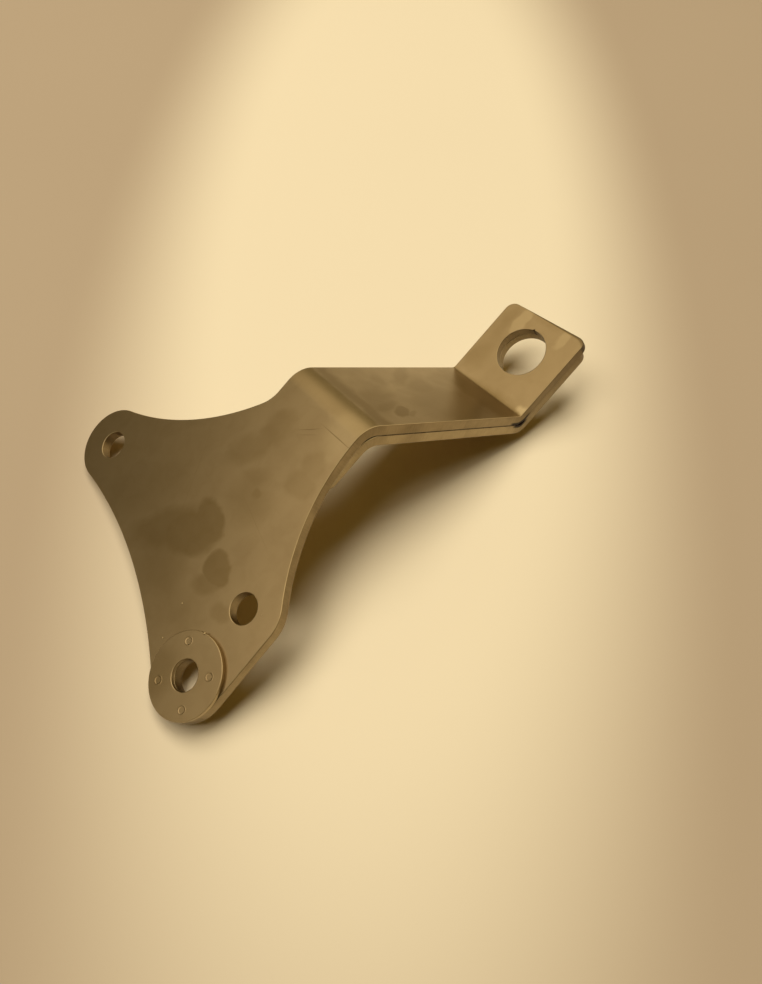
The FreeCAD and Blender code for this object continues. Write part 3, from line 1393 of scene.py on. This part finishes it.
@dataclass
class WeldWasher:
    """Flat washer on the lower hole, with four round marks pressed by the welding points.

    Each range goes from where a part of a mark's section starts to where it is whole, as a
    share of the mark's radius.
    """

    diameter: float = 29.0
    thick: float = 1.5
    hole: float = 10.5
    sides: int = 120
    upper_rim: float = 0.22
    lower_rim: float = 0.15
    marks: tuple = ((7.8, 7.6), (6.2, -7.5), (-7.3, -7.8), (-8.1, 6.6))
    mark_diameter: float = 3.3
    mark_depth: float = 0.04
    mark_lip: float = 0.04
    mark_sides: int = 32
    mark_rows: int = 24
    lip_outside: tuple = (0.95, 0.86)
    lip_inside: tuple = (0.74, 0.86)
    bowl_wall: tuple = (0.78, 0.62)
    merge_distance: float = 0.02

    def graph(self, material: bpy.types.Material) -> FormGraph:
        """Make the Geometry Nodes tree that presses a lipped bowl into each opening.

        Args:
            material: The washer's finish.

        Returns:
            The tree.
        """
        form = FormGraph("press_marks")
        radius = form.size("Mark radius", self.mark_diameter / 2)
        depth = form.size("Mark depth", self.mark_depth)
        lip = form.size("Lip height", self.mark_lip)
        values = {
            "Vertices": self.mark_sides, "Side Segments": self.mark_rows, "Radius Top": 0.0,
            "Radius Bottom": radius, "Depth": 1.0}
        cone = form.node("GeometryNodeMeshCone", {"fill_type": "NONE"}, values, "Mesh")
        flat = form.vector("MULTIPLY", form.place(), (1, 1, 0))
        out = form.length(flat) / radius
        raised = out.step(*self.lip_outside) * out.step(*self.lip_inside) * lip
        height = raised - out.step(*self.bowl_wall) * depth
        pressed = form.vector("ADD", flat, form.combined(0.0, 0.0, height))
        values = {"Geometry": cone, "Position": pressed}
        bowl = form.node("GeometryNodeSetPosition", {}, values)
        bowls = form.stand(form.by_seed("GeometryNodeSeparateGeometry"), bowl)
        joined = form.join(form.by_seed("GeometryNodeDeleteGeometry"), bowls)
        values = {"Geometry": joined, "Distance": self.merge_distance}
        merged = form.node("GeometryNodeMergeByDistance", {}, values)
        form.close(form.dress(merged), material)
        return form

    def build(self, plate: PlateFrame, finish: SheetSteel) -> bpy.types.Object:
        """Make, place and dress the washer.

        Args:
            plate: The frame that it is drawn in.
            finish: The steel's finish.

        Returns:
            The washer.
        """
        middle = point(0, 0)
        rim = round_hole(middle, self.diameter, self.sides)
        outline = [EdgePoint(spot.place, -spot.outward) for spot in rim]
        dents = [
            round_hole(point(*place), self.mark_diameter, self.mark_sides)
            for place in self.marks]
        seeds = [(x, y, 0.0) for x, y in self.marks]
        sheet = CutSheet(self.thick, self.upper_rim, self.lower_rim)
        loops = [outline, round_hole(middle, self.hole)]
        piece = sheet.build("weld_washer_dressed", loops, [], dents, seeds)
        raised = plate.matrix @ Matrix.Translation((0, 0, self.thick))
        form = self.graph(finish.material())
        return seat(piece, form, raised, Slot.WELD_WASHER, "weld_washer")


@dataclass
class WeldSpatter:
    """Specks of weld metal that stuck to the plate and the washer, as (x, y, z, radius)."""

    specks: tuple = (
        (12.9, 20.9, 0.0, 0.42), (0.5, 17.6, 0.0, 0.36), (13.4, 4.9, 1.45, 0.5),
        (31.0, -6.0, 0.0, 0.2))
    flatness: float = 0.55
    rounds: int = 3
    edge: float = 0.25

    def build(self, plate: PlateFrame, finish: SheetSteel) -> bpy.types.Object:
        """Make, place and dress the specks.

        Args:
            plate: The frame that they are drawn in.
            finish: The steel's finish.

        Returns:
            The specks, as one piece.
        """
        mesh_form = bmesh.new()
        size_layer = mesh_form.verts.layers.float.new("size")
        for x, y, z, size in self.specks:
            mesh_form.verts.new((x, y, z))[size_layer] = size
        piece = make_object("weld_spatter", mesh_form)
        form = FormGraph("stand_specks")
        flatness = form.size("Speck flatness", self.flatness)
        size = form.carried("size")
        values = {"Radius": 1.0, "Subdivisions": self.rounds}
        ball = form.node("GeometryNodeMeshIcoSphere", {}, values, "Mesh")
        stood = form.stand(form.start(), ball, form.combined(size, size, size * flatness))
        form.close(form.dress(stood, self.edge), finish.material())
        return seat(piece, form, plate.matrix, Slot.MAIN_PLATE)


@dataclass
class GroundWeld:
    """A weld in the seam between the two sheets, ground back to their edges.

    The tapers go from where the bead starts to where it is whole, as shares of its length.
    """

    plate: MountingPlate
    name: str
    where: WeldPlace
    first: float
    last: float
    height: float = 1.3
    depth: float = 0.55
    sunk: float = 0.33
    grain: float = 0.5
    grain_scale: float = 0.55
    start_taper: tuple = (-0.02, 0.16)
    end_taper: tuple = (1.02, 0.85)
    least_girth: float = 0.1
    steps: int = 32
    sides: int = 20
    edge: float = 0.8

    def path(self) -> list:
        """Follow the seam between the first and last place along the bracket.

        Returns:
            The points on the way.
        """
        sizes = self.plate
        centre = sizes.flank_centre
        radius = sizes.flank + self.sunk
        points = []
        for step in range(self.steps + 1):
            x = self.first + (self.last - self.first) * step / self.steps
            if self.where is WeldPlace.TAB:
                points.append((x, sizes.arm_y + self.sunk, -sizes.fold.drop - sizes.thick))
            else:
                y = centre.y + math.sqrt(radius**2 - (centre.x - x) ** 2)
                points.append((x, y, -sizes.thick))
        return points

    def build(self, plate: PlateFrame, finish: SheetSteel) -> bpy.types.Object:
        """Make, place and dress the weld.

        Args:
            plate: The frame that it is drawn in.
            finish: The steel's finish.

        Returns:
            The weld.
        """
        mesh_form = bmesh.new()
        line = [mesh_form.verts.new(place) for place in self.path()]
        for pair in zip(line, line[1:]):
            mesh_form.edges.new(pair)
        piece = make_object(self.name, mesh_form)
        form = FormGraph("lay_" + self.name)
        height = form.size("Weld half height", self.height / 2)
        depth = form.size("Weld half depth", self.depth / 2)
        grain = form.size("Weld unevenness", self.grain)
        run = form.node("GeometryNodeMeshToCurve", {}, [form.start()])
        run = form.node("GeometryNodeSetCurveNormal", {"mode": "Z_UP"}, [run])
        share = form.node("GeometryNodeSplineParameter", {}, {}, "Factor")
        rough = 1 + grain * (form.noise(form.place(), self.grain_scale) - 0.5)
        girth = share.step(*self.start_taper) * share.step(*self.end_taper) * rough
        values = {"Curve": run, "Radius": girth.most(self.least_girth)}
        run = form.node("GeometryNodeSetCurveRadius", {}, values)
        values = {"Resolution": self.sides, "Radius": 1.0}
        ring = form.node("GeometryNodeCurvePrimitiveCircle", {}, values, "Curve")
        values = {"Geometry": ring, "Scale": form.combined(depth, height, 1.0)}
        ring = form.node("GeometryNodeTransform", {}, values)
        values = {"Curve": run, "Profile Curve": ring, "Fill Caps": True}
        bead = form.node("GeometryNodeCurveToMesh", {}, values)
        form.close(form.dress(bead, self.edge), finish.material())
        return seat(piece, form, plate.matrix, Slot.DOUBLER)


@dataclass(frozen=True)
class SoftLamp:
    """A wide round lamp that points at the bracket."""

    name: str
    side: tuple
    watts: float
    size: float
    distance: float = 2.2

    def hang(self) -> None:
        """Put the lamp in the scene."""
        data = bpy.data.lights.new(self.name, "AREA")
        data.shape = "DISK"
        data.size = self.size
        data.energy = self.watts
        lamp = placed(self.name, data)
        lamp.visible_glossy = False
        toward = Vector(self.side).normalized()
        lamp.location = toward * self.distance
        lamp.rotation_euler = (-toward).to_track_quat("-Z", "Y").to_euler()


@dataclass
class Studio:
    """Floor, lamps, room and camera.

    The room is a pale ceiling over dim walls. Each side is the direction that a part of it
    lies in, and its reach says where that part begins and where it is whole.
    """

    eye: tuple = (-0.1119, -0.1645, 0.2661)
    forward: tuple = (0.3724, 0.4253, -0.8249)
    roll: float = math.radians(1.27)
    lens: float = 31.098
    near_clip: float = 0.01
    floor_half: float = 6.0
    floor_cells: int = 8
    lamps: tuple = (
        SoftLamp("key", (0.18, 0.28, 1.0), 31.0, 1.58),
        SoftLamp("second", (-0.44, 0.16, 1.0), 19.8, 1.32),
    )
    ceiling: float = 1.04
    walls: float = 0.05
    pale_wall: float = 0.26
    fill: float = 0.12
    dimmer: float = 0.27
    dimmer_reach: tuple = (-0.42, -0.12)
    ceiling_side: tuple = (0.0, -0.6, 1.0)
    ceiling_reach: tuple = (0.03, 0.18)
    pale_wall_side: tuple = (1.0, 0.0, 0.0)
    pale_wall_reach: tuple = (-0.42, 0.30)
    viewer_side: tuple = (-0.66, -0.75, 0.0)
    viewer_reach: tuple = (0.12, 0.55)
    cream: tuple = (1.30, 1.0, 0.44, 1)
    pale_cream: tuple = (1.27, 1.03, 0.66, 1)
    warm_fill: tuple = (1.32, 0.98, 0.16, 1)
    backdrop: tuple = (0.86, 0.69, 0.44, 1)

    def build(self) -> None:
        """Make everything that isn't the object."""
        self.floor()
        for lamp in self.lamps:
            lamp.hang()
        self.room()
        self.camera()
        bpy.context.scene.view_settings.view_transform = "Standard"

    def floor(self) -> None:
        """Lay a wide pale floor under the bracket."""
        cells = self.floor_cells
        form = bmesh.new()
        bmesh.ops.create_grid(form, x_segments=cells, y_segments=cells, size=self.floor_half)
        floor = make_object("floor", form)
        floor.data.materials.append(PaperFloor().material())

    def room(self) -> None:
        """Light the room plainly: a pale ceiling over dim walls, dim on the viewer's side too.

        Metal mirrors the room as it is, all else gets the warm fill, and the camera sees the
        plain backdrop.
        """
        world = bpy.data.worlds.new("room")
        world.use_nodes = True
        graph = Graph(world.node_tree)
        way = graph.node("ShaderNodeTexCoord", {}, {}, "Generated")
        height, right, viewer = (
            graph.vector("DOT_PRODUCT", way, side, output="Value")
            for side in (self.ceiling_side, self.pale_wall_side, self.viewer_side))
        open_sky = height.step(*self.ceiling_reach) * (1 - viewer.step(*self.viewer_reach))
        open_sky = open_sky * (1 - self.dimmer * right.step(*self.dimmer_reach))
        pale_wall = self.pale_wall * right.step(*self.pale_wall_reach)
        strength = (self.walls + open_sky * (self.ceiling - self.walls)).most(pale_wall)
        glossy = graph.ray("Is Glossy Ray")
        strength = strength * (self.fill + glossy * (1 - self.fill))
        mirrored = graph.blend(open_sky, self.cream, self.pale_cream)
        tint = graph.blend(glossy, self.warm_fill, mirrored)
        light = graph.node("ShaderNodeBackground", {}, {"Color": tint, "Strength": strength})
        values = {"Color": self.backdrop, "Strength": 1.0}
        shown = graph.node("ShaderNodeBackground", {}, values)
        both = graph.node("ShaderNodeMixShader", {}, [graph.ray("Is Camera Ray"), light, shown])
        graph.node("ShaderNodeOutputWorld", {}, {"Surface": both})
        bpy.context.scene.world = world

    def camera(self) -> None:
        """Stand the camera where the photograph was taken from."""
        data = bpy.data.cameras.new("camera")
        data.lens = self.lens
        data.clip_start = self.near_clip
        camera = placed("camera", data)
        turn = Vector(self.forward).to_track_quat("-Z", "Y").to_matrix()
        camera.rotation_euler = (turn @ Matrix.Rotation(self.roll, 3, "Z")).to_euler()
        camera.location = self.eye
        bpy.context.scene.camera = camera


def main() -> None:
    """Build the bracket and the studio round it."""
    logging.basicConfig(level=logging.INFO)
    sizes = MountingPlate()
    washer = WeldWasher()
    bore_middle = (washer.thick - sizes.thick) / 2
    plate = PlateFrame.from_mounts(frame["record"]["mounts"], sizes.upper_hole, bore_middle)
    seam_start = sizes.fold.arm_start - 1
    seam_end = sizes.fold.tab_start

    sizes.build(plate, SheetSteel(
        "plate_steel",
        stains=THUMB_STAINS + PLATE_SMUDGES + ARM_SMUDGES + TAB_SMUDGES,
        # The skin takes painted highlights, and painted shade by the bends among its darker
        # patches.
        painted_highlights=PAINTED_HIGHLIGHTS, scratches=SCRATCHES, dark_tone_and_shade=DARK_TONE_AND_SHADE_PATCHES,
        # Painted shade on the plate's cut walls at the tab.
        painted_wall_shades=(TAB_CORNER_SHADE, TAB_SIDE_SHADE), nicks=(TAB_HOLE_NICK,),
        rolls=(TAB_END_ROLL,),
        seam=SeamDirtAndGapShade(seam_start, seam_end, height=-sizes.thick, reach=0.34)))
    ArmDoubler(sizes).build(plate, SheetSteel(
        "doubler_steel", wall=(0.44, 0.35, 0.21, 1), wall_dark=(0.25, 0.19, 0.105, 1),
        # Painted shade on the doubler's cut wall along the tab's near side.
        painted_wall_shades=(TAB_SIDE_SHADE,),
        seam=SeamDirtAndGapShade(seam_start, seam_end, height=0.0, reach=0.28)))
    washer.build(plate, SheetSteel(
        "washer_steel", wall=(0.50, 0.40, 0.25, 1), wall_dark=(0.32, 0.245, 0.14, 1),
        dark_tone_and_shade=(WASHER_DARKER_PATCH,)))
    WeldSpatter().build(plate, SheetSteel("spatter_steel"))
    GroundWeld(sizes, "ground_weld", WeldPlace.FLANK, first=75.5, last=91.0).build(
        plate, SheetSteel("weld_steel", roughness=0.36))
    GroundWeld(sizes, "tab_weld", WeldPlace.TAB, first=142.0, last=172.6).build(
        plate, SheetSteel(
            "tab_weld_steel", wall=(0.27, 0.195, 0.085, 1), wall_dark=(0.15, 0.105, 0.04, 1),
            roughness=0.36))
    Studio().build()


if __name__ == "__main__":
    main()
